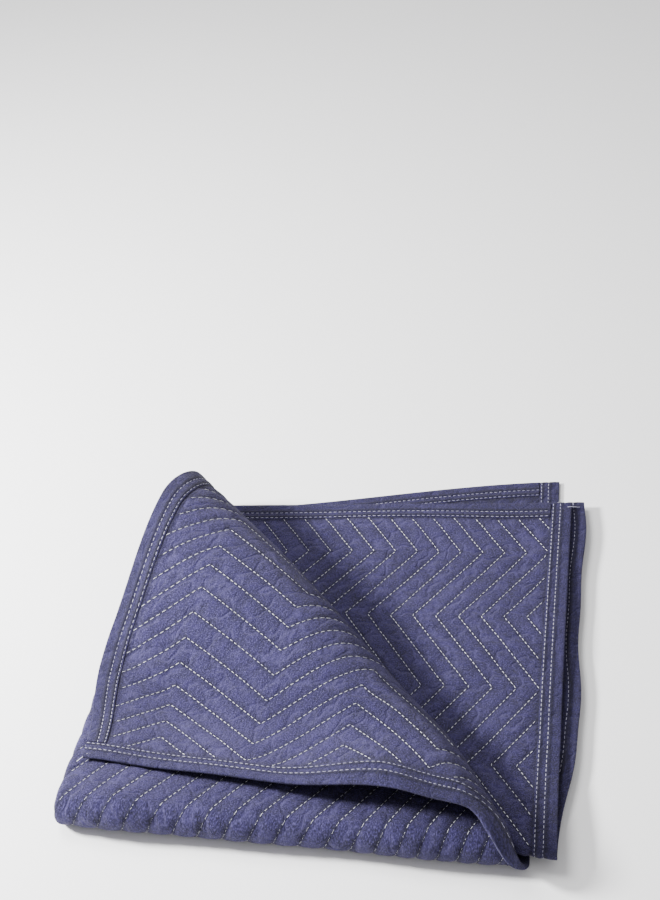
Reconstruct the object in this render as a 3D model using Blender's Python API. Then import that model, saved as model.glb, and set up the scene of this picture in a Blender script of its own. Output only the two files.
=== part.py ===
# Moving blanket folded in four, with one corner turned back
import bpy
import bmesh
import math
import numpy as np
from mathutils import Vector
from mathutils.geometry import delaunay_2d_cdt

# Cut size of the whole cloth, metres
cloth_width = 1.93
cloth_depth = 1.88
half_w = cloth_width / 2
half_d = cloth_depth / 2

# Thickness of the quilted panel, in the field and under the bindings
field_half = 0.0026
edge_half = 0.0014
groove = 0.0011

# Bindings
binding_width = 0.044
binding_thick = 0.0010
binding_air = 0.0005

# Quilting pattern
line_gap = 0.0485
zig_reach = 0.134
half_period = 0.192
first_kink = 0.153
line_offset = -0.019

# Folds
spine_outer = 0.034
spine_inner = 0.0105
spine_span = 0.030
flap_start = (-0.022, 0.910)
flap_end = (0.935, -0.034)

# Roll of the turned corner, from its open end to its tight end
roll_start = 0.082
roll_end = 0.028
roll_tall = 1.18
roll_wide = 1.42
lean_start = -0.20
lean_end = 2.2

# The outer cloth is drawn in at the right end of the spine
end_draw = 0.067

# The stack is deeper on its right side
fan_share = 0.115

# Cloth that the left fold takes up on each side of its middle, and the band kept clear beside it
fold_reach = 0.0094
fold_clear = 0.0235


def remove_everything():
    for item in list(bpy.data.objects):
        bpy.data.objects.remove(item, do_unlink=True)


def ease(value, low, high):
    t = np.clip((value - low) / (high - low), 0.0, 1.0)
    return t * t * (3.0 - 2.0 * t)


def bump(x, y, cx, cy, sx, sy):
    return np.exp(-((x - cx) / sx) ** 2 - ((y - cy) / sy) ** 2)


def outer_radius(x):
    wave = 0.0022 * np.sin(x * 9.0 + 0.6) + 0.0014 * np.sin(x * 21.0)
    return spine_outer + wave - 0.011 * ease(x, 0.84, 1.0) - 0.004 * (1.0 - ease(x, 0.0, 0.12))


# Heights of the middle of each layer over the floor, behind the spine
def height_one(x, y):
    rest = 0.0405 + 0.0022 * np.sin(x * 7.0 + y * 4.0)
    top = height_four(x, 0.0) + 2.0 * outer_radius(x)
    return rest + (top - rest) * (1.0 - ease(y, 0.0, 0.26))


def height_two(x, y):
    rest = 0.0285 + 0.0016 * np.sin(x * 11.0 - y * 5.0) + 0.0030 * bump(x, y, 0.80, 0.52, 0.16, 0.12)
    rest = rest + 0.0035 * bump(x, y, 0.62, 0.83, 0.14, 0.07) + 0.003 * bump(x, y, 0.93, 0.86, 0.07, 0.08)
    top = height_four(x, 0.0) + outer_radius(x) + spine_inner
    return rest + (top - rest) * (1.0 - ease(y, 0.0, 0.24))


def height_three(x, y):
    rest = 0.0165 + 0.0010 * np.sin(x * 8.0 + y * 7.0) + 0.0020 * bump(x, y, 0.97, 0.80, 0.10, 0.10)
    low = height_four(x, 0.0) + outer_radius(x) - spine_inner
    return rest + (low - rest) * (1.0 - ease(y, 0.0, 0.22))


def height_four(x, y):
    lift = 0.0009 * ease(x, half_w - 0.13, half_w - 0.09) + 0.0009 * ease(y, half_d - 0.14, half_d - 0.10)
    return field_half + np.minimum(lift, 0.0009)


# Outer sheet of the fold over the spine: x, then the way v along it from the spine's middle
def outer_sheet(x, v):
    radius = outer_radius(x)
    angle = np.clip(v / spine_span, -1.0, 1.0) * math.pi / 2
    centre = height_four(x, 0.0) + radius
    back = np.maximum(np.abs(v) - spine_span, 0.0)
    spine_y = -radius * np.cos(angle) * (1.0 + 0.10 * np.sin(angle))
    spine_z = centre + radius * np.sin(angle)
    top_z = height_one(x, back)
    low_z = height_four(x, back)
    z = np.where(v > spine_span, top_z, np.where(v < -spine_span, low_z, spine_z))
    y = np.where(np.abs(v) > spine_span, back, spine_y)
    return y, z


def inner_sheet(x, v):
    angle = np.clip(v / spine_span, -1.0, 1.0) * math.pi / 2
    centre = height_four(x, 0.0) + outer_radius(x)
    back = np.maximum(np.abs(v) - spine_span, 0.0)
    spine_y = -spine_inner * np.cos(angle)
    spine_z = centre + spine_inner * np.sin(angle)
    z = np.where(v > spine_span, height_two(x, back), np.where(v < -spine_span, height_three(x, back), spine_z))
    y = np.where(np.abs(v) > spine_span, back, spine_y)
    return y, z


# Turned-back corner, on the upper outer sheet
flap_dx = flap_end[0] - flap_start[0]
flap_dw = flap_end[1] - flap_start[1]
flap_len = math.hypot(flap_dx, flap_dw)
along_x = flap_dx / flap_len
along_w = flap_dw / flap_len
across_x = -along_w
across_w = along_x


def upper_frame(x, w):
    y, z = outer_sheet(x, w + spine_span)
    step = 0.014
    y_b, z_b = outer_sheet(x, w + spine_span + step)
    y_a, z_a = outer_sheet(x, w + spine_span - step)
    ty = (y_b - y_a)
    tz = (z_b - z_a)
    size = np.sqrt(ty * ty + tz * tz)
    return y, z, ty / size, tz / size


def roll_blend(radius, at_end, at_start):
    return at_end + (at_start - at_end) * ease(radius, roll_end, roll_start)


def flap_lift(radius, e, x, w):
    base = 0.0105
    roll = 2.0 * radius * roll_blend(radius, 1.0, roll_tall)
    fall = 1.0 - ease(e, 0.0, 0.128 + 2.7 * radius)
    soft = 0.036 * bump(x, w, 0.62, 0.045, 0.23, 0.07)
    soft = soft + 0.008 * bump(x, w, 0.30, 0.05, 0.14, 0.06)
    soft = soft + 0.006 * bump(x, w, 0.30, 0.55, 0.10, 0.16)
    soft = soft + 0.010 * bump(x, w, 0.05, 0.62, 0.09, 0.22)
    return base + (roll - base) * fall + soft * ease(e, 0.0, 0.12)


# The roll is a cone: its tip lies beyond the tight end of the fold line
cone_rate = (roll_start - roll_end) / flap_len
tip_past = roll_end / cone_rate
tip_x = flap_end[0] + along_x * tip_past
tip_w = flap_end[1] + along_w * tip_past
half_turn = math.pi * cone_rate


def cone_place(x, w):
    rel_x = x - tip_x
    rel_w = w - tip_w
    reach = np.sqrt(rel_x * rel_x + rel_w * rel_w)
    turned = np.arctan2(rel_x * across_x + rel_w * across_w, -(rel_x * along_x + rel_w * along_w))
    return reach, turned


# The turned part is drawn to the left along its left hem
def left_pull(x, w):
    return 0.096 * (1.0 - ease(x, 0.0, 0.50)) * ease(w, 0.05, 0.46)


def upper_sheet(x, w):
    reach, turned = cone_place(x, w)
    y0, z0, ty, tz = upper_frame(x, w)
    radius = cone_rate * reach
    foot_x = tip_x - along_x * reach
    foot_w = tip_w - along_w * reach
    fy, fz, fty, ftz = upper_frame(np.clip(foot_x, 0.0, 1.1), foot_w)
    theta = np.clip(turned / cone_rate, 0.0, math.pi)
    side = radius * roll_blend(radius, 1.0, roll_wide) * np.sin(theta)
    rise = radius * roll_blend(radius, 1.0, roll_tall) * (1.0 - np.cos(theta))
    lean = radius * roll_blend(radius, lean_end, lean_start) + left_pull(foot_x, foot_w)
    roll_x = foot_x + across_x * side - lean * (1.0 - np.cos(theta)) / 2
    roll_y = fy + across_w * side * fty - ftz * rise
    roll_z = fz + across_w * side * ftz + fty * rise
    over = np.maximum(turned - half_turn, 0.0)
    back_x = tip_x - reach * (along_x * np.cos(over) + across_x * np.sin(over))
    back_w = tip_w - reach * (along_w * np.cos(over) + across_w * np.sin(over))
    by, bz, bty, btz = upper_frame(np.clip(back_x, 0.0, 1.1), back_w)
    lift = flap_lift(radius, reach * over, back_x, back_w)
    flap_x = back_x - radius * roll_blend(radius, lean_end, lean_start) - left_pull(back_x, back_w)
    flap_y = by - btz * lift
    flap_z = bz + bty * lift
    on_roll = (turned > 0.0) & (theta < math.pi)
    on_flap = theta >= math.pi
    px = np.where(on_flap, flap_x, np.where(on_roll, roll_x, x))
    py = np.where(on_flap, flap_y, np.where(on_roll, roll_y, y0))
    pz = np.where(on_flap, flap_z, np.where(on_roll, roll_z, z0))
    return px, py, pz


# Where the first fold lies on the cloth, across from its centre line
def fold_place(b):
    return 0.004 + 0.010 * ease(b, -0.30, 0.30)


# Place in space of the cloth's middle: across a, along b, both from the cloth's centre
def cloth_point(a, b):
    a = np.asarray(a, dtype=float)
    b = np.asarray(b, dtype=float)
    shift = fold_place(b)
    u = a - shift
    yo, zo = outer_sheet(0.0 * a, b)
    yi, zi = inner_sheet(0.0 * a, b)
    gap = np.sqrt((yo - yi) ** 2 + (zo - zi) ** 2) / 2
    reach = gap * math.pi / 2
    phi = np.clip(u / gap, -math.pi / 2, math.pi / 2)
    bend = np.abs(u) < reach
    turn = np.sin(phi)
    fold_x = -gap * np.cos(phi)
    fold_y = (yo + yi) / 2 - (yo - yi) / 2 * turn
    fold_z = (zo + zi) / 2 - (zo - zi) / 2 * turn
    lx, ly, lz = upper_sheet(0.0 * a, b - spine_span)
    share = (1.0 - turn) / 2 * (b > spine_span)
    fold_x = fold_x + lx * share
    fold_y = fold_y + (ly - yo) * share
    fold_z = fold_z + (lz - zo) * share
    x = np.maximum(np.abs(u) - reach, 0.0)
    iy, iz = inner_sheet(x, b)
    oy, oz = outer_sheet(x, b)
    ux, uy, uz = upper_sheet(x, b - spine_span)
    is_upper = b > -spine_span * 0.9
    out_x = np.where(is_upper, ux, x)
    out_y = np.where(is_upper, uy, oy)
    out_z = np.where(is_upper, uz, oz)
    px = np.where(bend, fold_x, np.where(u > 0.0, x, out_x))
    py = np.where(bend, fold_y, np.where(u > 0.0, iy, out_y))
    pz = np.where(bend, fold_z, np.where(u > 0.0, iz, out_z))
    low = 1.0 - ease(b, -0.30, -0.05)
    right = ease(x, 0.05, 0.98)
    behind = ease(-b, 0.10, half_d)
    third = low * (u > 0.0)
    fourth = low * (u <= 0.0)
    wave = 0.004 * np.sin(b * 13.0) + 0.002 * np.sin(b * 29.0 + 1.0)
    px = px + third * right * (0.022 + wave)
    py = py + third * behind * 0.014
    py = py + fourth * behind * (0.012 + 0.086 * right)
    px = px - fourth * right * behind * 0.045
    fan = 1.0 + fan_share * (px / half_w - 0.45)
    py = np.where(py > 0.0, py * fan, py)
    near_spine = (1.0 - ease(py, 0.03, 0.30)) * (1.0 - ease(-b, 0.10, 0.45))
    px = px - (u < 0.0) * end_draw * ease(px, 0.55, 0.97) * near_spine
    return np.stack([px, py, pz], axis=-1)


def cloth_normal(a, b):
    step = 0.0015
    across = cloth_point(np.clip(a + step, -half_w, half_w), b) - cloth_point(np.clip(a - step, -half_w, half_w), b)
    along = cloth_point(a, np.clip(b + step, -half_d, half_d)) - cloth_point(a, np.clip(b - step, -half_d, half_d))
    n = np.cross(across, along)
    return n / np.linalg.norm(n, axis=-1, keepdims=True)


# Quilting: distance across to the zigzag line, in line gaps
def zigzag(b):
    phase = (half_d - first_kink - b) / half_period
    saw = np.abs((phase % 2.0) - 1.0)
    return line_offset + zig_reach * (saw - 0.5)


def line_share(a, b):
    q = (a - zigzag(b)) / line_gap
    return np.abs(q - np.round(q))


# Places along an edge: even steps, closer at each fold that the edge crosses
def stations(low, high, step, folds):
    values = [low, high]
    for centre, spread, count in folds:
        for k in range(count):
            values.append(centre - spread + 2 * spread * k / (count - 1))
    values = sorted(v for v in values if low <= v <= high)
    kept = [values[0]]
    for v in values[1:]:
        if v - kept[-1] > 0.0025:
            kept.append(v)
    kept[-1] = high
    full = [kept[0]]
    for v in kept[1:]:
        parts = max(1, int(math.ceil((v - full[-1]) / step)))
        start = full[-1]
        for k in range(1, parts + 1):
            full.append(start + (v - start) * k / parts)
    return full


cross_steps = [0.0, 0.021, binding_width]
inner_w = half_w - binding_width
inner_d = half_d - binding_width

# Folds crossed by each edge: centre, half spread, number of places
spine_folds = (0.0, spine_span, 9)
low_fold = (0.004, 0.0125, 7)
top_fold = (0.014, 0.0125, 7)
roll_at_side = (0.030, 0.084, 24)
back_roll = (-0.165, 0.172, 14)
side_places = {
    -1: stations(-inner_d, inner_d, 0.062, [spine_folds, roll_at_side]),
    1: stations(-inner_d, inner_d, 0.070, [spine_folds]),
}
end_places = {
    -1: stations(-inner_w, inner_w, 0.066, [low_fold]),
    1: stations(-inner_w, inner_w, 0.062, [top_fold, back_roll]),
}


def flap_way(a, b):
    x = -(a - float(fold_place(b))) - fold_reach
    reach, turned = cone_place(x, b - spine_span)
    return float(reach * turned)


def on_roll(a, b):
    reach, turned = cone_place(-(a - float(fold_place(b))) - fold_reach, b - spine_span)
    return a < 0 and -0.006 < float(turned) * float(reach) < half_turn * float(reach) + 0.006


def in_view(a, b):
    if abs(b) < spine_span + 0.09 and a < 0:
        return b > -0.06
    return b > -0.02 and flap_way(-abs(a - 0.014) + 0.014, b) > -0.05


class PointSet:
    def __init__(self):
        self.points = []
        self.cells = {}
        self.edges = []

    def near(self, a, b, space):
        size = 0.03
        ca = int(math.floor(a / size))
        cb = int(math.floor(b / size))
        for i in range(ca - 1, ca + 2):
            for j in range(cb - 1, cb + 2):
                for k in self.cells.get((i, j), []):
                    pa, pb = self.points[k]
                    if math.hypot(pa - a, pb - b) < space:
                        return k
        return -1

    def add(self, a, b, space=0.0002):
        found = self.near(a, b, space)
        if found >= 0:
            return found
        self.points.append((a, b))
        key = (int(math.floor(a / 0.03)), int(math.floor(b / 0.03)))
        self.cells.setdefault(key, []).append(len(self.points) - 1)
        return len(self.points) - 1


def add_border(pts):
    for side in (-1, 1):
        places = side_places[side]
        full = [-half_d, -half_d + cross_steps[1]] + places + [half_d - cross_steps[1], half_d]
        rows = [[pts.add(side * (half_w - c), b) for c in cross_steps] for b in full]
        link_rows(pts, rows)
    for side in (-1, 1):
        places = end_places[side]
        rows = [[pts.add(a, side * (half_d - c)) for c in cross_steps] for a in places]
        link_rows(pts, rows)


def link_rows(pts, rows):
    for j in range(len(rows)):
        for k in range(len(cross_steps)):
            if k + 1 < len(cross_steps):
                pts.edges.append((rows[j][k], rows[j][k + 1]))
            if j + 1 < len(rows):
                pts.edges.append((rows[j][k], rows[j + 1][k]))
            if j + 1 < len(rows) and k + 1 < len(cross_steps):
                pts.edges.append((rows[j][k], rows[j + 1][k + 1]))


def roll_place(angle, s):
    reach = flap_len + tip_past - s
    x = tip_x - reach * (along_x * math.cos(angle) - across_x * math.sin(angle))
    w = tip_w - reach * (along_w * math.cos(angle) - across_w * math.sin(angle))
    b = w + spine_span
    return -(x + fold_reach) + float(fold_place(b)), b


def quilt_count(place):
    return (place[0] - float(zigzag(place[1]))) / (line_gap / 2)


def inside(a, b, margin):
    return abs(a) < inner_w - margin and abs(b) < inner_d - margin


def add_interior(pts):
    lines = range(-24, 25)
    # Left fold
    columns = (-0.0195, -0.0125, -0.0085, -0.0045, 0.0, 0.0045, 0.0085, 0.0125, 0.0195)
    levels = stations(-inner_d + 0.012, inner_d - 0.012, 0.066, [(0.0, 0.105, 15), (inner_d - 0.08, 0.068, 4)])
    before = []
    for b in levels:
        row = [pts.add(u + float(fold_place(b)), b) for u in columns]
        for k in range(len(row) - 1):
            pts.edges.append((row[k], row[k + 1]))
            if before:
                pts.edges.append((before[k], row[k + 1]))
        for k in range(len(row)):
            if before:
                pts.edges.append((before[k], row[k]))
        before = row
    # Roll of the turned corner: where the quilting crosses nine straight lines along it
    before = {}
    for k in range(9):
        now = {}
        places = [roll_place(half_turn * k / 8, 0.004 + 0.004 * n) for n in range(int(flap_len / 0.004))]
        for first, second in zip(places, places[1:]):
            q0 = quilt_count(first)
            q1 = quilt_count(second)
            if math.floor(q0) == math.floor(q1):
                continue
            number = max(math.floor(q0), math.floor(q1))
            share = (number - q0) / (q1 - q0)
            a = first[0] + (second[0] - first[0]) * share
            b = first[1] + (second[1] - first[1]) * share
            if not inside(a, b, 0.006) or abs(a - float(fold_place(b))) < fold_clear:
                continue
            found = pts.add(a, b, 0.0035)
            near = before.get(number, -1)
            if near >= 0 and math.dist(pts.points[near], pts.points[found]) < 0.045:
                pts.edges.append((near, found))
            now[number] = found
        before = now
        for n in range(int(flap_len / 0.030)):
            a, b = roll_place(half_turn * k / 8, 0.010 + 0.030 * n)
            if inside(a, b, 0.006) and abs(a - float(fold_place(b))) > fold_clear:
                pts.add(a, b, 0.019)
    # Spine, outer and inner sheet
    for i in lines:
        for half in (0.0, 0.5):
            for k in range(9):
                b = -spine_span + 2 * spine_span * k / 8
                a = (i + half) * line_gap + float(zigzag(b))
                if a > 0 and (half > 0 or k % 2 == 1):
                    continue
                if inside(a, b, 0.012) and abs(a) > 0.024:
                    pts.add(a, b, 0.006)
    # Quilting lines and the puffs between them, in view
    kinks = [half_d - first_kink - k * half_period for k in range(-1, 10)]
    rows = []
    for k in range(len(kinks) - 1):
        for part in range(3):
            rows.append(kinks[k] + (kinks[k + 1] - kinks[k]) * part / 3)
    for i in lines:
        for half in (0.0, 0.5):
            last = -1
            for b in rows:
                a = (i + half) * line_gap + float(zigzag(b))
                hidden = b < -0.06 or not in_view(a, b) or on_roll(a, b)
                if hidden or abs(a) < 0.02 or not inside(a, b, 0.010):
                    last = -1
                    continue
                found = pts.add(a, b, 0.0095)
                if last >= 0 and pts.points[found] == (a, b):
                    pts.edges.append((last, found))
                last = found if pts.points[found] == (a, b) else -1
    # Hidden cloth
    for b in np.arange(-inner_d + 0.05, inner_d, 0.078):
        for a in np.arange(-inner_w + 0.05, inner_w, 0.082):
            if inside(a, b, 0.02) and not in_view(a, b) and abs(a) > 0.03:
                pts.add(float(a), float(b), 0.030)


def half_thickness(a, b):
    if abs(a) > inner_w - 0.0005 or abs(b) > inner_d - 0.0005:
        return edge_half
    if not in_view(a, b):
        return field_half
    share = float(line_share(a, b))
    return field_half - groove * max(0.0, 1.0 - share / 0.25)


def mesh_object(name, verts, faces, colour, rough):
    mesh = bpy.data.meshes.new(name)
    mesh.from_pydata([tuple(v) for v in verts], [], faces)
    mesh.validate()
    item = bpy.data.objects.new(name, mesh)
    material = bpy.data.materials.new(name)
    material.use_nodes = True
    shader = material.node_tree.nodes["Principled BSDF"]
    shader.inputs["Base Color"].default_value = colour
    shader.inputs["Roughness"].default_value = rough
    mesh.materials.append(material)
    for poly in mesh.polygons:
        poly.use_smooth = True
    return item


def build_panel():
    pts = PointSet()
    add_border(pts)
    add_interior(pts)
    corners = [Vector(p) for p in pts.points]
    out = delaunay_2d_cdt(corners, pts.edges, [], 1, 1e-7)
    flat = [(v.x, v.y) for v in out[0]]
    tris = [tuple(f) for f in out[2]]
    a = np.array([p[0] for p in flat])
    b = np.array([p[1] for p in flat])
    middle = cloth_point(a, b)
    normal = cloth_normal(a, b)
    half = np.array([half_thickness(p[0], p[1]) for p in flat])[:, None]
    count = len(flat)
    verts = np.concatenate([middle + normal * half, middle - normal * half])
    low = (verts[:, 2] < 0.00005)
    verts[low, 2] = 0.0
    faces = []
    border = {}
    for f in tris:
        faces.append((f[0], f[1], f[2]))
        faces.append((f[2] + count, f[1] + count, f[0] + count))
        for k in range(3):
            edge = (f[k], f[(k + 1) % 3])
            border[edge] = True
    for edge in list(border):
        if (edge[1], edge[0]) not in border:
            faces.append((edge[1], edge[0], edge[0] + count))
            faces.append((edge[1], edge[0] + count, edge[1] + count))
    return verts, faces


def edge_binding(along_b, side):
    places = side_places[side] if along_b else end_places[side]
    if along_b:
        places = [-half_d, -half_d + cross_steps[1]] + places + [half_d - cross_steps[1], half_d]
    else:
        places = [places[0] + 0.0008] + places[1:-1] + [places[-1] - 0.0008]
    span = half_w if along_b else half_d
    verts = []
    for p in places:
        c = np.array(cross_steps)
        a = side * (span - c) if along_b else np.full(3, p)
        b = np.full(3, p) if along_b else side * (span - c)
        middle = cloth_point(a, b)
        normal = cloth_normal(a, b)
        outward = middle[0] - middle[1]
        outward = outward - normal[0] * np.dot(outward, normal[0])
        outward = outward / np.linalg.norm(outward)
        for extra in (binding_air, binding_air + binding_thick):
            off = edge_half + extra
            row = [middle[2] + normal[2] * off, middle[1] + normal[1] * off]
            row.append(middle[0] + outward * extra + normal[0] * off)
            row.append(middle[0] + outward * extra - normal[0] * off)
            row.append(middle[1] - normal[1] * off)
            row.append(middle[2] - normal[2] * off)
            verts.extend(row)
    faces = []
    count = len(places)
    ring = 12
    loop = [0, 1, 2, 3, 4, 5, 11, 10, 9, 8, 7, 6]
    for j in range(count - 1):
        for k in range(ring):
            p0 = j * ring + loop[k]
            p1 = j * ring + loop[(k + 1) % ring]
            q0 = p0 + ring
            q1 = p1 + ring
            # The cut of each cell runs the same way as in the panel under it
            if edge_cell(loop[k], loop[(k + 1) % ring]):
                faces.append((p0, p1, q0))
                faces.append((p1, q1, q0))
            else:
                faces.append((p0, p1, q1))
                faces.append((p0, q1, q0))
    for end in (0, count - 1):
        base = end * ring
        for k in range(5):
            quad = (base + k, base + k + 1, base + k + 7, base + k + 6)
            faces.append(quad if end == 0 else quad[::-1])
    return np.array(verts), faces


# True where the cell's first corner lies farther from the edge than its second
def edge_cell(first, second):
    far = {0: 2, 1: 1, 2: 0, 3: 0, 4: 1, 5: 2, 6: 2, 7: 1, 8: 0, 9: 0, 10: 1, 11: 2}
    return far[first] > far[second]


def close_solid(item):
    bm = bmesh.new()
    bm.from_mesh(item.data)
    bmesh.ops.triangulate(bm, faces=bm.faces[:])
    bmesh.ops.recalc_face_normals(bm, faces=bm.faces[:])
    volume = bm.calc_volume(signed=True)
    if volume < 0:
        bmesh.ops.reverse_faces(bm, faces=bm.faces[:])
    bm.to_mesh(item.data)
    bm.free()


def main():
    remove_everything()
    group = bpy.data.collections.new("moving_blanket")
    bpy.context.scene.collection.children.link(group)
    verts, faces = build_panel()
    items = [mesh_object("quilted_panel", verts, faces, (0.09, 0.09, 0.23, 1.0), 0.85)]
    names = (("left_binding", True, -1), ("right_binding", True, 1), ("back_binding", False, 1), ("front_binding", False, -1))
    for name, along_b, side in names:
        verts, faces = edge_binding(along_b, side)
        items.append(mesh_object(name, verts, faces, (0.075, 0.075, 0.20, 1.0), 0.75))
    corners = np.array([list(v.co) for item in items for v in item.data.vertices])
    centre = (corners.min(axis=0) + corners.max(axis=0)) / 2
    for item in items:
        for v in item.data.vertices:
            v.co.x -= centre[0]
            v.co.y -= centre[1]
        close_solid(item)
        group.objects.link(item)
        print(item.name, len(item.data.polygons))
    print("centre", round(float(centre[0]), 5), round(float(centre[1]), 5))


main()
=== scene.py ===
# Moving blanket folded in four, with one corner turned back over a soft roll
import math

import bpy
import numpy as np
from mathutils import Matrix, Vector


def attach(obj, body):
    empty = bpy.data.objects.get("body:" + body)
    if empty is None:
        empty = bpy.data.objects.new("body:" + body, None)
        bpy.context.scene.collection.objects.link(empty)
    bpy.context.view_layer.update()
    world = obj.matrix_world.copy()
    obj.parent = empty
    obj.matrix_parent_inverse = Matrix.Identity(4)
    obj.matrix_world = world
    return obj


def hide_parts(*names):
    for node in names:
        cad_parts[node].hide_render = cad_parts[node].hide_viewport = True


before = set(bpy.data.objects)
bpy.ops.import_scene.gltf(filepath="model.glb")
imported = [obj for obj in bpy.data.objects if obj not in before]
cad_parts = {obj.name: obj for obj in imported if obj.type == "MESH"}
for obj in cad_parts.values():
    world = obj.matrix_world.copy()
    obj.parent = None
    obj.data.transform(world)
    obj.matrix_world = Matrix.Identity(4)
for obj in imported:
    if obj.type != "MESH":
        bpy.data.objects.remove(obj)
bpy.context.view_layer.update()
print("frame loaded")

# Metres. a runs across the whole cloth and b along it, both from its middle
cloth = {
    "width": 1.93, "depth": 1.88,
    "binding": 0.044,
    "centreX": 0.48308, "centreY": 0.50446,
    "fieldHalf": 0.0042, "lineHalf": 0.0010, "edgeHalf": 0.0014,
    "floorHalf": 0.0026,
    "taper": (0.016, 0.002),  # where the quilted part thins out before the binding
}
halfW = cloth["width"] / 2
halfD = cloth["depth"] / 2
innerW = halfW - cloth["binding"]
innerD = halfD - cloth["binding"]

fold = {
    "spineOuter": 0.034, "spineInner": 0.0105, "spineSpan": 0.030,
    "flapStart": (-0.022, 0.910), "flapEnd": (0.935, -0.034),
    "rollStart": 0.082, "rollEnd": 0.028, "rollTall": 1.18, "rollWide": 1.42,
    "leanStart": -0.20, "leanEnd": 2.2, "endDraw": 0.067,
    "fan": 0.115,
    "turn": 0.0094,  # cloth taken up on each side of the left fold
    "heights": (0.0405, 0.0285, 0.0165),  # middles of the three upper layers where they lie flat
    "flapGap": 0.0105,
    "probe": 0.014,
    "pull": 0.096,
}

quilt = {
    "gap": 0.0485, "reach": 0.134, "half": 0.192,
    "firstKink": 0.153, "offset": -0.019,
    "longRow": 3, "longBy": 0.080,  # the slant that runs down over the front fold is longer
    "lines": 24,  # on each side of the middle
}

# Soft troughs and ridges: middle across, middle along, turn in degrees, half length, half width, height
creases = (
    (0.60, 0.62, 62.0, 0.170, 0.020, -0.0022),
    (0.76, 0.44, 48.0, 0.150, 0.024, 0.0024),
    (0.86, 0.74, 10.0, 0.120, 0.018, -0.0020),
    (0.40, 0.86, 4.0, 0.140, 0.020, 0.0022),
    (0.70, 0.86, -8.0, 0.120, 0.018, 0.0020),
    (0.88, 0.22, 84.0, 0.150, 0.020, 0.0018),
    (-0.86, 0.60, 84.0, 0.170, 0.026, 0.0034),
    (-0.74, 0.80, -40.0, 0.140, 0.022, -0.0018),
    (-0.62, 0.86, 6.0, 0.160, 0.020, 0.0026),
    (-0.78, 0.34, 70.0, 0.120, 0.020, 0.0030),
    (-0.52, 0.70, 58.0, 0.180, 0.026, 0.0026),
    (-0.64, 0.50, 40.0, 0.140, 0.018, -0.0016),
    (-0.20, 0.16, 20.0, 0.140, 0.020, -0.0020),
    (-0.12, 0.40, 78.0, 0.160, 0.018, -0.0018),
)


def ease(value, low, high):
    t = np.clip((value - low) / (high - low), 0.0, 1.0)
    return t * t * (3.0 - 2.0 * t)


def bump(x, y, cx, cy, sx, sy):
    return np.exp(-((x - cx) / sx) ** 2 - ((y - cy) / sy) ** 2)


# The folded form, the same way as the solids
def outerRadius(x):
    wave = 0.0022 * np.sin(x * 9.0 + 0.6) + 0.0014 * np.sin(x * 21.0)
    return fold["spineOuter"] + wave - 0.011 * ease(x, 0.84, 1.0) - 0.004 * (1.0 - ease(x, 0.0, 0.12))


def heightOne(x, y):
    rest = fold["heights"][0] + 0.0022 * np.sin(x * 7.0 + y * 4.0)
    top = heightFour(x, 0.0) + 2.0 * outerRadius(x)
    return rest + (top - rest) * (1.0 - ease(y, 0.0, 0.26))


def heightTwo(x, y):
    rest = fold["heights"][1] + 0.0016 * np.sin(x * 11.0 - y * 5.0)
    rest = rest + 0.0030 * bump(x, y, 0.80, 0.52, 0.16, 0.12)
    rest = rest + 0.0035 * bump(x, y, 0.62, 0.83, 0.14, 0.07) + 0.003 * bump(x, y, 0.93, 0.86, 0.07, 0.08)
    top = heightFour(x, 0.0) + outerRadius(x) + fold["spineInner"]
    return rest + (top - rest) * (1.0 - ease(y, 0.0, 0.24))


def heightThree(x, y):
    rest = fold["heights"][2] + 0.0010 * np.sin(x * 8.0 + y * 7.0)
    rest = rest + 0.0020 * bump(x, y, 0.97, 0.80, 0.10, 0.10)
    low = heightFour(x, 0.0) + outerRadius(x) - fold["spineInner"]
    return rest + (low - rest) * (1.0 - ease(y, 0.0, 0.22))


def heightFour(x, y):
    lift = 0.0009 * ease(x, halfW - 0.13, halfW - 0.09) + 0.0009 * ease(y, halfD - 0.14, halfD - 0.10)
    return cloth["floorHalf"] + np.minimum(lift, 0.0009)


def roundSpine(x, v, high, low, mid, radius, squash):
    span = fold["spineSpan"]
    angle = np.clip(v / span, -1.0, 1.0) * math.pi / 2
    back = np.maximum(np.abs(v) - span, 0.0)
    spineY = -radius * np.cos(angle) * (1.0 + squash * np.sin(angle))
    spineZ = mid + radius * np.sin(angle)
    z = np.where(v > span, high(x, back), np.where(v < -span, low(x, back), spineZ))
    return np.where(np.abs(v) > span, back, spineY), z


def outerSheet(x, v):
    radius = outerRadius(x)
    return roundSpine(x, v, heightOne, heightFour, heightFour(x, 0.0) + radius, radius, 0.10)


def innerSheet(x, v):
    mid = heightFour(x, 0.0) + outerRadius(x)
    return roundSpine(x, v, heightTwo, heightThree, mid, fold["spineInner"], 0.0)


# The turned corner rolls over on a cone whose tip lies past the tight end
flapDx = fold["flapEnd"][0] - fold["flapStart"][0]
flapDw = fold["flapEnd"][1] - fold["flapStart"][1]
flapLength = math.hypot(flapDx, flapDw)
alongX, alongW = flapDx / flapLength, flapDw / flapLength
acrossX, acrossW = -alongW, alongX
coneRate = (fold["rollStart"] - fold["rollEnd"]) / flapLength
tipPast = fold["rollEnd"] / coneRate
tipX = fold["flapEnd"][0] + alongX * tipPast
tipW = fold["flapEnd"][1] + alongW * tipPast
halfTurn = math.pi * coneRate


def upperFrame(x, w):
    span, step = fold["spineSpan"], fold["probe"]
    y, z = outerSheet(x, w + span)
    yB, zB = outerSheet(x, w + span + step)
    yA, zA = outerSheet(x, w + span - step)
    size = np.sqrt((yB - yA) ** 2 + (zB - zA) ** 2)
    return y, z, (yB - yA) / size, (zB - zA) / size


def rollBlend(radius, atEnd, atStart):
    return atEnd + (atStart - atEnd) * ease(radius, fold["rollEnd"], fold["rollStart"])


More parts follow.
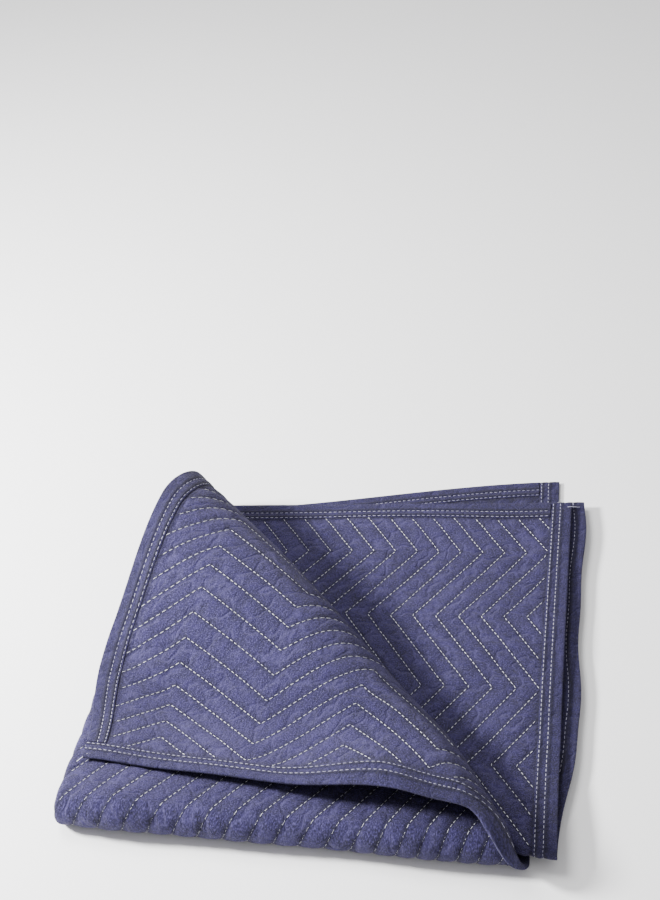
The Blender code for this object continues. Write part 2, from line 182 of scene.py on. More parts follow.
def flapLift(radius, e, x, w):
    base = fold["flapGap"]
    roll = 2.0 * radius * rollBlend(radius, 1.0, fold["rollTall"])
    fall = 1.0 - ease(e, 0.0, 0.128 + 2.7 * radius)
    soft = 0.036 * bump(x, w, 0.62, 0.045, 0.23, 0.07) + 0.008 * bump(x, w, 0.30, 0.05, 0.14, 0.06)
    soft = soft + 0.006 * bump(x, w, 0.30, 0.55, 0.10, 0.16) + 0.010 * bump(x, w, 0.05, 0.62, 0.09, 0.22)
    return base + (roll - base) * fall + soft * ease(e, 0.0, 0.12)


def conePlace(x, w):
    relX, relW = x - tipX, w - tipW
    reach = np.sqrt(relX * relX + relW * relW)
    return reach, np.arctan2(relX * acrossX + relW * acrossW, -(relX * alongX + relW * alongW))


def leftPull(x, w):
    return fold["pull"] * (1.0 - ease(x, 0.0, 0.50)) * ease(w, 0.05, 0.46)


def upperSheet(x, w):
    reach, turned = conePlace(x, w)
    y0, z0, ty, tz = upperFrame(x, w)
    radius = coneRate * reach
    footX = tipX - alongX * reach
    footW = tipW - alongW * reach
    fy, fz, fty, ftz = upperFrame(np.clip(footX, 0.0, 1.1), footW)
    theta = np.clip(turned / coneRate, 0.0, math.pi)
    side = radius * rollBlend(radius, 1.0, fold["rollWide"]) * np.sin(theta)
    rise = radius * rollBlend(radius, 1.0, fold["rollTall"]) * (1.0 - np.cos(theta))
    tilt = radius * rollBlend(radius, fold["leanEnd"], fold["leanStart"])
    lean = tilt + leftPull(footX, footW)
    roll = (footX + acrossX * side - lean * (1.0 - np.cos(theta)) / 2,
            fy + acrossW * side * fty - ftz * rise,
            fz + acrossW * side * ftz + fty * rise)
    over = np.maximum(turned - halfTurn, 0.0)
    backX = tipX - reach * (alongX * np.cos(over) + acrossX * np.sin(over))
    backW = tipW - reach * (alongW * np.cos(over) + acrossW * np.sin(over))
    by, bz, bty, btz = upperFrame(np.clip(backX, 0.0, 1.1), backW)
    lift = flapLift(radius, reach * over, backX, backW)
    flap = (backX - tilt - leftPull(backX, backW), by - btz * lift, bz + bty * lift)
    onRoll = (turned > 0.0) & (theta < math.pi)
    onFlap = theta >= math.pi
    return [np.where(onFlap, flap[k], np.where(onRoll, roll[k], flat)) for k, flat in enumerate((x, y0, z0))]


def foldPlace(b):
    return 0.004 + 0.010 * ease(b, -0.30, 0.30)


def foldedPoint(a, b):
    span = fold["spineSpan"]
    u = a - foldPlace(b)
    yo, zo = outerSheet(0.0 * a, b)
    yi, zi = innerSheet(0.0 * a, b)
    gap = np.sqrt((yo - yi) ** 2 + (zo - zi) ** 2) / 2
    reach = gap * math.pi / 2
    phi = np.clip(u / gap, -math.pi / 2, math.pi / 2)
    bend = np.abs(u) < reach
    turn = np.sin(phi)
    lx, ly, lz = upperSheet(0.0 * a, b - span)
    share = (1.0 - turn) / 2 * (b > span)
    bent = (-gap * np.cos(phi) + lx * share,
            (yo + yi) / 2 - (yo - yi) / 2 * turn + (ly - yo) * share,
            (zo + zi) / 2 - (zo - zi) / 2 * turn + (lz - zo) * share)
    x = np.maximum(np.abs(u) - reach, 0.0)
    inner = (x, *innerSheet(x, b))
    outer = (x, *outerSheet(x, b))
    upper = upperSheet(x, b - span)
    isUpper = b > -span * 0.9
    px, py, pz = [
        np.where(bend, bent[k], np.where(u > 0.0, inner[k], np.where(isUpper, upper[k], outer[k])))
        for k in range(3)
    ]
    low = 1.0 - ease(b, -0.30, -0.05)
    right = ease(x, 0.05, 0.98)
    behind = ease(-b, 0.10, halfD)
    third = low * (u > 0.0)
    fourth = low * (u <= 0.0)
    wave = 0.004 * np.sin(b * 13.0) + 0.002 * np.sin(b * 29.0 + 1.0)
    px = px + third * right * (0.022 + wave)
    py = py + third * behind * 0.014
    py = py + fourth * behind * (0.012 + 0.086 * right)
    px = px - fourth * right * behind * 0.045
    py = np.where(py > 0.0, py * (1.0 + fold["fan"] * (px / halfW - 0.45)), py)
    nearSpine = (1.0 - ease(py, 0.03, 0.30)) * (1.0 - ease(-b, 0.10, 0.45))
    px = px - (u < 0.0) * fold["endDraw"] * ease(px, 0.55, 0.97) * nearSpine
    return np.stack([px - cloth["centreX"], py - cloth["centreY"], pz], axis=-1)


def normalOf(place, a, b):
    step = 0.0015
    across = place(np.clip(a + step, -halfW, halfW), b) - place(np.clip(a - step, -halfW, halfW), b)
    along = place(a, np.clip(b + step, -halfD, halfD)) - place(a, np.clip(b - step, -halfD, halfD))
    n = np.cross(across, along)
    return n / np.linalg.norm(n, axis=-1, keepdims=True)


def creaseLift(a, b):
    total = 0.0 * a
    for ca, cb, turn, length, width, height in creases:
        angle = math.radians(turn)
        s = (a - ca) * math.cos(angle) + (b - cb) * math.sin(angle)
        t = (b - cb) * math.cos(angle) - (a - ca) * math.sin(angle)
        bow = t - 0.012 * np.sin(s / length * 2.2)
        total = total + height * np.exp(-(s / length) ** 2 - (bow / width) ** 2)
    return total * ease(b, 0.05, 0.12)


def clothPoint(a, b):
    return foldedPoint(a, b) + normalOf(foldedPoint, a, b) * creaseLift(a, b)[..., None]


def clothNormal(a, b):
    return normalOf(clothPoint, a, b)


# Even small unrest, the same each run: a few waves in different directions
def unrest(a, b, size, seed):
    dice = np.random.default_rng(seed)
    total = 0.0 * a
    for k in range(7):
        angle = dice.uniform(0.0, 2.0 * math.pi)
        rate = 2.0 * math.pi / (size * dice.uniform(0.7, 1.6))
        total = total + np.sin((a * math.cos(angle) + b * math.sin(angle)) * rate + dice.uniform(0.0, 6.3))
    return total / 7


def kinkPlace(k):
    past = quilt["longBy"] if k > quilt["longRow"] else 0.0
    return halfD - quilt["firstKink"] - k * quilt["half"] - past


def zigzag(b):
    past = np.clip(kinkPlace(quilt["longRow"]) - quilt["half"] - b, 0.0, quilt["longBy"])
    phase = (halfD - quilt["firstKink"] - b - past) / quilt["half"]
    turned = quilt["reach"] * (np.abs((phase % 2.0) - 1.0) - 0.5)
    return quilt["offset"] + turned + past * quilt["reach"] / quilt["half"]


def flapWay(a, b):
    reach, turned = conePlace(-(a - foldPlace(b)) - fold["turn"], b - fold["spineSpan"])
    return reach * turned


def halfThickness(a, b):
    q = (a - zigzag(b)) / quilt["gap"]
    share = np.clip(np.abs(q - np.round(q)) * 2.0, 0.0, 1.0)
    puff = (1.0 - (1.0 - share) ** 2) ** 0.75
    full = cloth["fieldHalf"] * (1.0 + 0.10 * unrest(a, b, 0.16, 3))
    half = cloth["lineHalf"] + (full - cloth["lineHalf"]) * puff
    # Puckers that the stitches draw up beside each line
    half = half + 0.0011 * unrest(a, b, 0.024, 5) * puff * (1.0 - 0.55 * share)
    outer, inner = cloth["taper"]
    sideEdge = ease(np.abs(a), innerW - outer, innerW - inner)
    endEdge = ease(np.abs(b), innerD - outer, innerD - inner)
    return half + (cloth["edgeHalf"] - half) * np.maximum(sideEdge, endEdge)


def newObject(name, verts, faces):
    mesh = bpy.data.meshes.new(name)
    mesh.from_pydata(verts.tolist(), [], faces)
    mesh.update()
    mesh.polygons.foreach_set("use_smooth", np.ones(len(mesh.polygons), dtype=bool))
    item = bpy.data.objects.new(name, mesh)
    bpy.context.scene.collection.objects.link(item)
    return item


def setSeamShade(item, share):
    # 1 on a row of stitches, 0 away from it. The finish darkens the cloth's colour there as painted shade
    # and deepens the wrinkle relief
    layer = item.data.attributes.new(name="seamShade", type="FLOAT", domain="POINT")
    layer.data.foreach_set("value", share.astype(np.float32))


def setUv(item, places):
    layer = item.data.uv_layers.new(name="cloth")
    corner = np.empty(len(item.data.loops), dtype=np.int32)
    item.data.loops.foreach_get("vertex_index", corner)
    layer.data.foreach_set("uv", places[corner].astype(np.float32).ravel())


# Grid of the cloth
gridStep = {
    "spine": 0.0035, "nearSpine": 0.0045, "field": 0.0107, "below": 0.0140, "hidden": 0.031,
    "shares": (0.0, 0.08, 0.24, 0.42, 0.58, 0.76, 0.92),
    "foldBand": (0.0, 0.0024, 0.0047, 0.0071, 0.0095, 0.0125),
    "strip": (0.015, 0.030, 0.044),
    "nearBand": 0.14,
}


def rowPlaces():
    kinks = [kinkPlace(k) for k in range(-1, 11)]
    span, near = fold["spineSpan"], gridStep["nearBand"]
    marks = [-innerD, innerD, -near, -span, 0.0, span, near]
    marks = sorted(marks + [k for k in kinks if abs(k) < innerD - 0.01])
    rows = [marks[0]]
    for low, high in zip(marks, marks[1:]):
        mid = (low + high) / 2
        if abs(mid) < span:
            step = gridStep["spine"]
        elif 0.0 < mid < near:
            step = gridStep["nearSpine"]
        elif mid > 0.0:
            step = gridStep["field"]
        else:
            step = gridStep["below"] if mid > -near else gridStep["hidden"]
        parts = max(1, math.ceil((high - low) / step - 0.01))
        rows += [low + (high - low) * k / parts for k in range(1, parts + 1)]
    strip = [innerD + s for s in gridStep["strip"]]
    return np.array([-s for s in reversed(strip)] + rows + strip)


def columnPlaces(b):
    # Places across at one row: they follow the zigzag and stop at the bindings and beside the left fold
    inside = np.clip(b, -innerD, innerD)
    lines = np.arange(-quilt["lines"], quilt["lines"] + 1)
    shares = np.array(gridStep["shares"])
    places = ((lines[:, None] + shares[None, :]) * quilt["gap"]).ravel() + float(zigzag(inside))
    middle = float(foldPlace(inside))
    band = gridStep["foldBand"][-1]
    left = np.clip(places, -innerW, middle - band)
    right = np.clip(places, middle + band, innerW)
    for side, ends in ((left, (-innerW, middle - band)), (right, (middle + band, innerW))):
        for end in ends:
            side[np.abs(side - end) < 0.0016] = end
    bandPlaces = middle + np.array([-s for s in gridStep["foldBand"][::-1]] + list(gridStep["foldBand"][1:]))
    strip = np.array(gridStep["strip"])
    return np.concatenate([-innerW - strip[::-1], left, bandPlaces, right, innerW + strip])


rows = rowPlaces()
columns = np.array([columnPlaces(b) for b in rows])


def gridIndex():
    fresh = np.ones(columns.shape, dtype=bool)
    fresh[:, 1:] = np.diff(columns, axis=1) > 1e-7
    index = np.cumsum(fresh.ravel()).reshape(columns.shape) - 1
    return fresh, index


def makePanel():
    fresh, index = gridIndex()
    a = columns[fresh]
    b = np.repeat(rows, columns.shape[1]).reshape(columns.shape)[fresh]
    count = len(a)
    middle = clothPoint(a, b)
    normal = clothNormal(a, b)
    half = halfThickness(a, b)[:, None]
    verts = np.concatenate([middle + normal * half, middle - normal * half])
    verts[:, 2] = np.maximum(verts[:, 2], 0.0)
    p, q = index[:-1, :-1], index[:-1, 1:]
    s, r = index[1:, :-1], index[1:, 1:]
    whole = (p != q) & (s != r)
    quads = np.stack([p[whole], q[whole], r[whole], s[whole]], axis=-1)
    down = (p != q) & (s == r)
    up = (p == q) & (s != r)
    narrowUp = np.stack([p[down], q[down], s[down]], axis=-1)
    narrowDown = np.stack([p[up], r[up], s[up]], axis=-1)
    tris = np.concatenate([narrowUp, narrowDown])
    faces = quads.tolist() + tris.tolist()
    faces += (quads[:, ::-1] + count).tolist() + (tris[:, ::-1] + count).tolist()
    rim = [index[0], index[:, -1], index[-1, ::-1], index[::-1, 0]]
    loop = [int(v) for part in rim for v in part]
    loop = [v for k, v in enumerate(loop) if v != loop[k - 1]]
    for k, v in enumerate(loop):
        before = loop[k - 1]
        faces.append((v, before, before + count, v + count))
    item = newObject("panel", verts, faces)
    places = np.stack([a, b], axis=-1)
    setUv(item, np.concatenate([places, places]))
    # Painted shade mask: 1 along each quilting line and at the panel's edge beside the binding, fading
    # within a few millimetres
    q = (a - zigzag(b)) / quilt["gap"]
    seamShade = np.exp(-np.abs(q - np.round(q)) * quilt["gap"] / 0.0042)
    edge = np.maximum(np.abs(a) - innerW, np.abs(b) - innerD)
    seamShade = np.maximum(seamShade * (edge < 0.0), np.exp(-np.abs(edge) / 0.004))
    setSeamShade(item, np.concatenate([seamShade, seamShade]))
    return item


# Binding tape folded round each edge
tape = {
    "air": 0.0005, "thick": 0.0012,
    "steps": (0.0440, 0.0425, 0.0400, 0.0375, 0.0325, 0.0280, 0.0240, 0.0200, 0.0145, 0.0090, 0.0040, 0.0),
    "stitchRows": (0.0400, 0.0240), "rowGap": 0.016, "dent": 0.0007, "puff": 0.0007, "ripple": 0.0006,
    "rimBow": (0.35, 0.65), "rimShadeWidth": 0.0028,
}


def tapeOffset(c, a, b):
    dent = sum(np.exp(-((c - row) / 0.0017) ** 2) for row in tape["stitchRows"])
    nearRow = tape["stitchRows"][1]
    betweenRows = np.sin(np.clip((c - nearRow) / tape["rowGap"], 0.0, 1.0) * math.pi)
    pastRows = np.sin(np.clip(c / nearRow, 0.0, 1.0) * math.pi)
    between = betweenRows + 0.8 * pastRows
    ripple = tape["ripple"] * unrest(a, b, 0.020, 11) * (0.35 + between)
    return tape["puff"] * between - tape["dent"] * dent + ripple


def edgeStations(alongB, side):
    if alongB:
        marks = rows
    else:
        row = columns[0 if side < 0 else -1]
        marks = np.unique(np.round(row[np.abs(row) <= innerW], 7))
        marks = np.concatenate([[marks[0] + 0.0008], marks[1:-1], [marks[-1] - 0.0008]])
    full = [marks[0]]
    for low, high in zip(marks, marks[1:]):
        parts = max(1, math.ceil((high - low) / 0.0062))
        full += [low + (high - low) * k / parts for k in range(1, parts + 1)]
    return np.array(full)


def makeBinding(name, alongB, side):
    stations = edgeStations(alongB, side)
    span = halfW if alongB else halfD
    c = np.array(tape["steps"])
    near = side * (span - c)
    a = np.repeat(near[None, :], len(stations), 0) if alongB else np.repeat(stations[:, None], len(c), 1)
    b = np.repeat(stations[:, None], len(c), 1) if alongB else np.repeat(near[None, :], len(stations), 0)
    middle = clothPoint(a.ravel(), b.ravel()).reshape(a.shape + (3,))
    normal = clothNormal(a.ravel(), b.ravel()).reshape(a.shape + (3,))
    outward = middle[:, -1] - middle[:, -3]
    outward = outward - normal[:, -1] * np.sum(outward * normal[:, -1], axis=-1, keepdims=True)
    outward = outward / np.linalg.norm(outward, axis=-1, keepdims=True)
    inside = cloth["edgeHalf"] + tape["air"]
    across = c[None, :] + 0.0 * a
    body = inside + tape["thick"] + tapeOffset(across, a, b)
    body[:, 0] = inside + 0.0006
    under = inside + tape["thick"] + tapeOffset(across, a + 3.0, b)
    under[:, 0] = inside + 0.0006
    rings = []
    for extra, top, low in ((0, np.full(a.shape, inside), np.full(a.shape, inside)), (1, body, under)):
        upper = middle + normal * top[..., None]
        lower = (middle - normal * low[..., None])[:, ::-1]
        rim = []
        bow = tape["air"] + extra * tape["thick"]
        for turn in (50.0, 0.0, -50.0):
            t = math.radians(turn)
            high = top[:, -1:] if turn >= 0.0 else low[:, -1:]
            out = outward * bow * (tape["rimBow"][0] + tape["rimBow"][1] * math.cos(t))
            rim.append(middle[:, -1] + out + normal[:, -1] * high * math.sin(t) * 1.02)
        rings.append(np.concatenate([upper, np.stack(rim, axis=1), lower], axis=1))
    width = rings[0].shape[1]
    inner, outer = rings
    ring = np.concatenate([outer, inner[:, ::-1]], axis=1)
    count, size = ring.shape[0], ring.shape[1]
    verts = ring.reshape(-1, 3)
    verts[:, 2] = np.maximum(verts[:, 2], 0.0)
    k = np.arange(size)
    j = np.arange(count - 1)[:, None]
    p, q = j * size + k, j * size + (k + 1) % size
    quads = np.stack([p, q, q + size, p + size], axis=-1).reshape(-1, 4)
    faces = quads.tolist()
    for end in (0, count - 1):
        for n in range(width - 1):
            quad = (end * size + n, end * size + size - 1 - n, end * size + size - 2 - n, end * size + n + 1)
            faces.append(quad if end == 0 else quad[::-1])
    item = newObject(name, verts, faces)
    # A distance along the edge and one round it
    roundIt = np.concatenate([span - c, span + np.array([0.001, 0.003, 0.005]), span + 0.006 + c[::-1]])
    roundIt = np.concatenate([roundIt, roundIt[::-1]])
    uv = np.stack([np.repeat(stations[:, None], size, 1), np.repeat(roundIt[None, :], count, 0)], axis=-1)
    setUv(item, uv.reshape(-1, 2))
    # Painted shade mask along the two rows of stitches on the tape
    depth = np.abs(span + 0.003 - np.abs(roundIt))
    near = sum(np.exp(-((depth - row) / tape["rimShadeWidth"]) ** 2) for row in tape["stitchRows"])
    setSeamShade(item, np.repeat(np.clip(near, 0.0, 1.0)[None, :], count, 0).ravel())
    bpy.ops.object.select_all(action="DESELECT")
    item.select_set(True)
    bpy.context.view_layer.objects.active = item
    bpy.ops.object.mode_set(mode="EDIT")
    bpy.ops.mesh.select_all(action="SELECT")
    bpy.ops.mesh.normals_make_consistent(inside=False)
    bpy.ops.object.mode_set(mode="OBJECT")
    return item


# Stitches: short soft dashes of thread, each with sixteen faces
stitch = {
    "pitch": 0.0112, "length": 0.0088, "width": 0.00044, "height": 0.0004, "sink": 0.0007,
    "lift": 0.00025, "edgeLift": 0.0002,
}


def dashes(name, starts, ends, up, lift):
    # starts and ends are places in space at the two ends, up the way out of the cloth
    along = ends - starts
    side = np.cross(up, along)
    side = side / np.linalg.norm(side, axis=-1, keepdims=True) * stitch["width"]
    count = len(starts)
    rings = [(starts + up * (lift - stitch["sink"]))[:, None]]
    for share in (0.22, 0.78):
        mid = starts + along * share + up * lift
        ring = (mid - side, mid + up * stitch["height"], mid + side, mid - up * stitch["sink"])
        rings.append(np.stack(ring, axis=1))
    rings.append((ends + up * (lift - stitch["sink"]))[:, None])
    verts = np.concatenate(rings, axis=1)
    shape = []
    for k in range(4):
        n = (k + 1) % 4
        shape += [(0, 1 + n, 1 + k), (1 + k, 1 + n, 5 + n), (1 + k, 5 + n, 5 + k), (9, 5 + k, 5 + n)]
    shape = np.array(shape)
    faces = (np.arange(count)[:, None, None] * 10 + shape[None]).reshape(-1, 3)
    return newObject(name, verts.reshape(-1, 3), faces.tolist())


def stitchPlaces():
    # Middles and directions of all quilting stitches, in the flat cloth
    slope = quilt["reach"] / quilt["half"]
    stretch = math.hypot(1.0, slope)
    dice = np.random.default_rng(8)
    places = []
    for line in range(-quilt["lines"], quilt["lines"] + 1):
        b = np.arange(-innerD + 0.004, innerD - 0.004, stitch["pitch"] / stretch) + dice.uniform(0.0, 0.006)
        a = line * quilt["gap"] + zigzag(b)
        keep = (np.abs(a) < innerW - 0.004) & (b < innerD - 0.004)
        places.append(np.stack([a[keep], b[keep]], axis=-1))
    return np.concatenate(places), slope, stretch


def makeQuilting():
    places, slope, stretch = stitchPlaces()
    a, b = places[:, 0], places[:, 1]
    reach = stitch["length"] / stretch / 2
    way = flapWay(-np.abs(a - 0.014) + 0.014, b)
    upSide = (b > -0.03) & (way > -0.03)
    downSide = (a < 0.02) & ((b < 0.03) | (way < 0.02))
    objects = []
    for side, shown in ((1.0, upSide), (-1.0, downSide)):
        a0, b0 = a[shown], b[shown]
        slant = zigzag(b0 + reach) - zigzag(b0 - reach)
        ends = []
        for sign in (-1.0, 1.0):
            pa, pb = a0 + sign * slant / 2, b0 + sign * reach
            half = halfThickness(pa, pb)[:, None]
            ends.append(clothPoint(pa, pb) + side * clothNormal(pa, pb) * half)
        up = side * clothNormal(a0, b0)
        name = "quiltingUp" if side > 0 else "quiltingDown"
        objects.append(dashes(name, ends[0], ends[1], up, stitch["lift"]))
    return objects


def makeEdgeStitching():
    starts, ends, ups = [], [], []
    dice = np.random.default_rng(12)
    for alongB, span in ((True, halfW), (False, halfD)):
        for side in (-1, 1):
            limit = halfD - 0.004 if alongB else innerW - 0.004
            for row in tape["stitchRows"]:
                marks = np.arange(-limit, limit, stitch["pitch"]) + dice.uniform(0.0, 0.004)
                pair = []
                for sign in (-0.5, 0.5):
                    run = marks + sign * stitch["length"]
                    near = side * (span - row) + 0.0 * run
                    a, b = (near, run) if alongB else (run, near)
                    a = np.clip(a, -halfW, halfW)
                    b = np.clip(b, -halfD, halfD)
                    pair.append((a, b))
                for face in (1.0, -1.0):
                    put = []
                    for a, b in pair:
                        depth = cloth["edgeHalf"] + tape["air"] + tape["thick"]
                        level = depth + tapeOffset(row + 0.0 * a, a + (0.0 if face > 0 else 3.0), b)
                        put.append(clothPoint(a, b) + face * clothNormal(a, b) * level[:, None])
                    a, b = (pair[0][0] + pair[1][0]) / 2, (pair[0][1] + pair[1][1]) / 2
                    starts.append(put[0])
                    ends.append(put[1])
                    ups.append(face * clothNormal(a, b))
    starts, ends, ups = (np.concatenate(part) for part in (starts, ends, ups))
    return [dashes("edgeStitching", starts, ends, ups, stitch["edgeLift"])]


def joined(name, objects):
    bpy.ops.object.select_all(action="DESELECT")
    for item in objects:
        item.select_set(True)
    bpy.context.view_layer.objects.active = objects[0]
    if len(objects) > 1:
        bpy.ops.object.join()
    item = bpy.context.view_layer.objects.active
    item.name = name
    item.data.name = name
    return item


# Loose thread ends at the corners: place across and along on the cloth, then steps in space
looseEnds = {
    "thick": 0.0006,
    "routes": (
        ((0.955, 0.925),
         ((0.0, 0.0, 0.003), (0.010, 0.006, 0.004), (0.022, 0.004, 0.001), (0.030, 0.012, -0.004))),
        ((0.930, 0.932),
         ((0.0, 0.0, 0.003), (0.004, 0.012, 0.004), (0.012, 0.020, 0.000), (0.010, 0.030, -0.005))),
        ((-0.955, 0.925),
         ((0.0, 0.0, 0.003), (-0.008, -0.004, 0.004), (-0.012, -0.014, 0.002), (-0.022, -0.018, -0.004))),
    ),
}


def makeLooseEnds():
    objects = []
    for (a, b), steps in looseEnds["routes"]:
        base = clothPoint(np.array([a]), np.array([b]))[0]
        curve = bpy.data.curves.new("looseEnd", "CURVE")
        curve.dimensions = "3D"
        curve.bevel_depth = looseEnds["thick"]
        curve.bevel_resolution = 1
        curve.resolution_u = 5
        curve.use_fill_caps = True
        spline = curve.splines.new("NURBS")
        spline.points.add(len(steps) - 1)
        for point, step in zip(spline.points, steps):
            point.co = (*(base + np.array(step)), 1.0)
        spline.use_endpoint_u = True
        item = bpy.data.objects.new("looseEnd", curve)
        bpy.context.scene.collection.objects.link(item)
        bpy.ops.object.select_all(action="DESELECT")
        item.select_set(True)
        bpy.context.view_layer.objects.active = item
        bpy.ops.object.convert(target="MESH")
        objects.append(item)
    return objects


class Value:
    # A number or colour on a node's output. Sums, products and abs add Math nodes
    def __init__(self, tree, socket):
        self.tree = tree
        self.socket = socket

    def math(self, operation, first, second):
        return self.tree.node("ShaderNodeMath", {"operation": operation}, {0: first, 1: second})

    def __add__(self, other):
        return self.math("ADD", self, other)

    def __mul__(self, other):
        return self.math("MULTIPLY", self, other)

    def __sub__(self, other):
        return self.math("SUBTRACT", self, other)

    def __rsub__(self, other):
        return self.math("SUBTRACT", other, self)

    def __abs__(self):
        return self.math("ABSOLUTE", self, 0.0)

    __radd__ = __add__
    __rmul__ = __mul__


class Finish:
    # A material and its nodes
    def __init__(self, name):
        self.material = bpy.data.materials.new(name)
        self.material.use_nodes = True
        self.nodes = self.material.node_tree.nodes
        self.links = self.material.node_tree.links
        self.shader = self.nodes["Principled BSDF"]

    def put(self, socket, value):
        if isinstance(value, Value):
            self.links.new(value.socket, socket)
        else:
            socket.default_value = value

    def node(self, kind, settings, values, output=0):
        made = self.nodes.new(kind)
        for name, value in settings.items():
            setattr(made, name, value)
        for name, value in values.items():
            self.put(made.inputs[name], value)
        return Value(self, made.outputs[output])

    def set(self, values):
        for name, value in values.items():
            self.put(self.shader.inputs[name], value)

    def cloth(self):
        return self.node("ShaderNodeUVMap", {"uv_map": "cloth"}, {})

    def noise(self, place, scale, detail, rough=0.55):
        values = {"Vector": place, "Scale": scale, "Detail": detail, "Roughness": rough}
        return self.node("ShaderNodeTexNoise", {}, values)

    def mix(self, share, first, second):
        return self.node("ShaderNodeMix", {"data_type": "RGBA"}, {0: share, 6: first, 7: second}, 2)

    def waves(self, place, direction, scale):
        settings = {"wave_type": "BANDS", "bands_direction": direction}
        values = {"Vector": place, "Scale": scale, "Distortion": 0.6, "Detail": 1.0}
        return self.node("ShaderNodeTexWave", settings, values, 1)


def clamp01(finish, value, low, high):
    values = {"Value": value, "From Min": low, "From Max": high}
    return finish.node("ShaderNodeMapRange", {"clamp": True}, values)


# Noise on the cloth as scale, detail and roughness, and its relief as strength and depth
fabric = {
    "mottle": (42.0, 5.0, 0.65), "broad": (5.0, 3.0, 0.55), "crinkle": (120.0, 3.0, 0.6),
    "fine": (380.0, 2.0, 0.7), "crease": (15.0, 2.5, 0.45),
    "wrinkle": (0.90, 0.0110), "grain": (0.80, 0.0016),
    "sheenRough": 0.55, "sheenTint": (0.85, 0.80, 1.0, 1.0), "shine": 0.28,
}

# The darkest colour is painted shade laid along the stitch lines and beside the binding; the fine noise also
# uses it for random dark specks
panelFinish = {
    "lit": (0.023, 0.017, 0.083, 1.0), "deep": (0.008, 0.006, 0.031, 1.0),
    "fade": (0.085, 0.072, 0.212, 1.0), "seamShade": (0.002, 0.002, 0.010, 1.0),
    "rough": 0.88, "sheen": 0.07,
}


def fabricFinish(name, look, weave):
    finish = Finish(name)
    place = finish.cloth()
    mottle = finish.noise(place, *fabric["mottle"])
    broad = finish.noise(place, *fabric["broad"])
    crinkle = finish.noise(place, *fabric["crinkle"])
    fine = finish.noise(place, *fabric["fine"])
    crease = clamp01(finish, abs(finish.noise(place, *fabric["crease"]) - 0.5), 0.0, 0.045)
    seamShade = finish.node("ShaderNodeAttribute", {"attribute_name": "seamShade"}, {}, 2)
    across = finish.waves(place, "X", weave)
    along = finish.waves(place, "Y", weave)
    base = finish.mix(clamp01(finish, mottle, 0.34, 0.66), look["deep"], look["lit"])
    faded = finish.mix(clamp01(finish, broad, 0.50, 0.80) * 0.35, base, look["fade"])
    light = finish.mix(clamp01(finish, fine, 0.50, 0.66) * 0.72, faded, look["fade"])
    # Random dark specks from the fine noise, in the same dark colour
    dark = finish.mix(clamp01(finish, fine, 0.50, 0.34) * 0.80, light, look["seamShade"])
    worn = finish.mix((1.0 - crease) * 0.22, dark, look["fade"])
    # Painted shade: the colour darkens towards the darkest colour along the stitch rows, and on the panel
    # also beside the binding
    seamShaded = finish.mix(seamShade * 0.74, worn, look["seamShade"])
    # Pulled wrinkles, deeper beside the stitches, under the grain of the cloth
    wrinkle = mottle * (seamShade * 0.9 + 0.8) + crinkle * 0.45 + crease * 0.34
    strength, distance = fabric["wrinkle"]
    soft = finish.node("ShaderNodeBump", {}, {"Height": wrinkle, "Strength": strength, "Distance": distance})
    grain = (across + along) * 0.30 + fine
    strength, distance = fabric["grain"]
    relief = {"Height": grain, "Strength": strength, "Distance": distance, "Normal": soft}
    normal = finish.node("ShaderNodeBump", {}, relief)
    rough = clamp01(finish, mottle, 0.0, 1.0) * 0.10 + (look["rough"] - 0.05)
    finish.set({"Base Color": seamShaded, "Roughness": rough, "Normal": normal})
    finish.set({"Sheen Weight": look["sheen"], "Sheen Roughness": fabric["sheenRough"]})
    finish.set({"Sheen Tint": fabric["sheenTint"], "Specular IOR Level": fabric["shine"]})
    return finish.material


# The darkest colour is painted shade laid along the tape's stitch rows; the fine noise also uses it for
# random dark specks
tapeFinish = {
    "lit": (0.017, 0.013, 0.064, 1.0), "deep": (0.007, 0.005, 0.028, 1.0),
    "fade": (0.056, 0.047, 0.158, 1.0), "seamShade": (0.002, 0.002, 0.009, 1.0),
    "rough": 0.82, "sheen": 0.06,
}

threadFinish = {"light": (0.86, 0.87, 0.96, 1.0), "dull": (0.64, 0.64, 0.78, 1.0), "rough": 0.72}
edgeFinish = {"light": (0.60, 0.59, 0.74, 1.0), "dull": (0.30, 0.29, 0.44, 1.0), "rough": 0.74}


def makeThreadFinish(name, look):
    finish = Finish(name)
    place = finish.node("ShaderNodeTexCoord", {}, {}, 3)
    twist = finish.noise(place, 900.0, 2.0)
    soil = finish.noise(place, 9.0, 3.0)
    tone = finish.mix(clamp01(finish, soil, 0.40, 0.72), look["light"], look["dull"])
    normal = finish.node("ShaderNodeBump", {}, {"Height": twist, "Strength": 0.3, "Distance": 0.0003})
    finish.set({"Base Color": tone, "Roughness": look["rough"], "Normal": normal})
    return finish.material


panel = makePanel()
panel.data.materials.append(fabricFinish("quiltedFabric", panelFinish, 260.0))
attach(panel, "root")
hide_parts("quilted_panel")
print("panel", len(panel.data.polygons))

tapeMaterial = fabricFinish("bindingTape", tapeFinish, 330.0)
for node, alongB, side in (("left", True, -1), ("right", True, 1), ("back", False, 1), ("front", False, -1)):
    piece = makeBinding(node + "Tape", alongB, side)
    piece.data.materials.append(tapeMaterial)
    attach(piece, "root")
    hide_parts(node + "_binding")
    print(piece.name, len(piece.data.polygons))

quilting = joined("quiltingThread", makeQuilting())
edging = joined("edgeThread", makeEdgeStitching() + makeLooseEnds())
for piece, look in ((quilting, threadFinish), (edging, edgeFinish)):
    piece.data.materials.clear()
    piece.data.materials.append(makeThreadFinish(piece.name, look))
    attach(piece, "root")
    print(piece.name, len(piece.data.polygons))

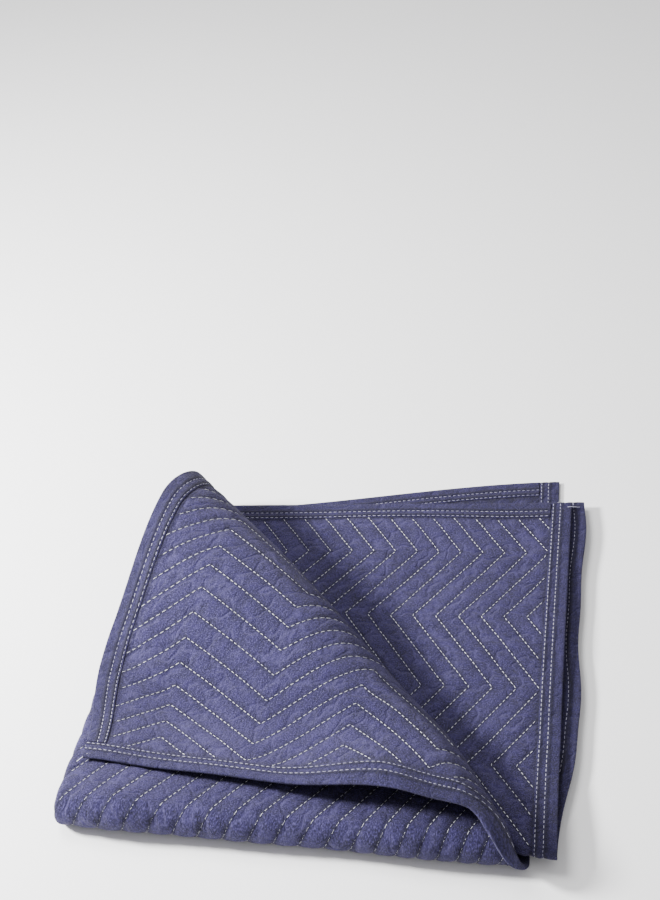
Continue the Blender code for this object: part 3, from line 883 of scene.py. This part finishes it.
# Pale floor, soft lights and the camera
studio = {
    "floor": (0.96, 0.96, 0.965, 1.0), "world": (1.0, 0.99, 1.0, 1.0), "worldStrength": 0.64,
    "lights": (
        ((-2.7, -0.35, 1.70), 0.6, 400.0),
        ((-1.6, 0.9, 3.0), 1.8, 120.0),
    ),
    "camera": (0.3801, -2.3056, 2.5297), "azimuth": 9.77, "elevation": 40.31, "roll": -2.84, "lens": 64.0,
}


def makeStudio():
    bpy.ops.object.select_all(action="DESELECT")
    bpy.ops.mesh.primitive_plane_add(size=30.0, location=(0.0, 0.0, -0.0004))
    floor = bpy.context.object
    floor.name = "floor"
    bpy.ops.object.transform_apply(location=True, rotation=True, scale=True)
    paint = Finish("floorPaint")
    speck = paint.noise(paint.node("ShaderNodeTexCoord", {}, {}, 3), 60.0, 2.0)
    paint.set({"Base Color": studio["floor"], "Roughness": speck * 0.06 + 0.80})
    floor.data.materials.append(paint.material)
    world = bpy.data.worlds.new("studio")
    world.use_nodes = True
    back = world.node_tree.nodes["Background"]
    back.inputs["Color"].default_value = studio["world"]
    back.inputs["Strength"].default_value = studio["worldStrength"]
    bpy.context.scene.world = world
    for place, size, power in studio["lights"]:
        bpy.ops.object.light_add(type="AREA", location=place)
        lamp = bpy.context.object
        lamp.data.shape = "DISK"
        lamp.data.size = size
        lamp.data.energy = power
        lamp.rotation_euler = (-Vector(place)).to_track_quat("-Z", "Y").to_euler()


def makeCamera():
    az, el, roll = (math.radians(studio[k]) for k in ("azimuth", "elevation", "roll"))
    forward = Vector((-math.sin(az) * math.cos(el), math.cos(az) * math.cos(el), -math.sin(el)))
    level = Vector((math.cos(az), math.sin(az), 0.0))
    upward = level.cross(forward)
    right = level * math.cos(roll) + upward * math.sin(roll)
    upward = right.cross(forward)
    turn = Matrix((right, upward, -forward)).transposed().to_4x4()
    bpy.ops.object.camera_add()
    camera = bpy.context.object
    camera.matrix_world = Matrix.Translation(studio["camera"]) @ turn
    camera.data.lens = studio["lens"]
    camera.data.clip_end = 60.0
    bpy.context.scene.camera = camera


makeStudio()
makeCamera()
print("studio")
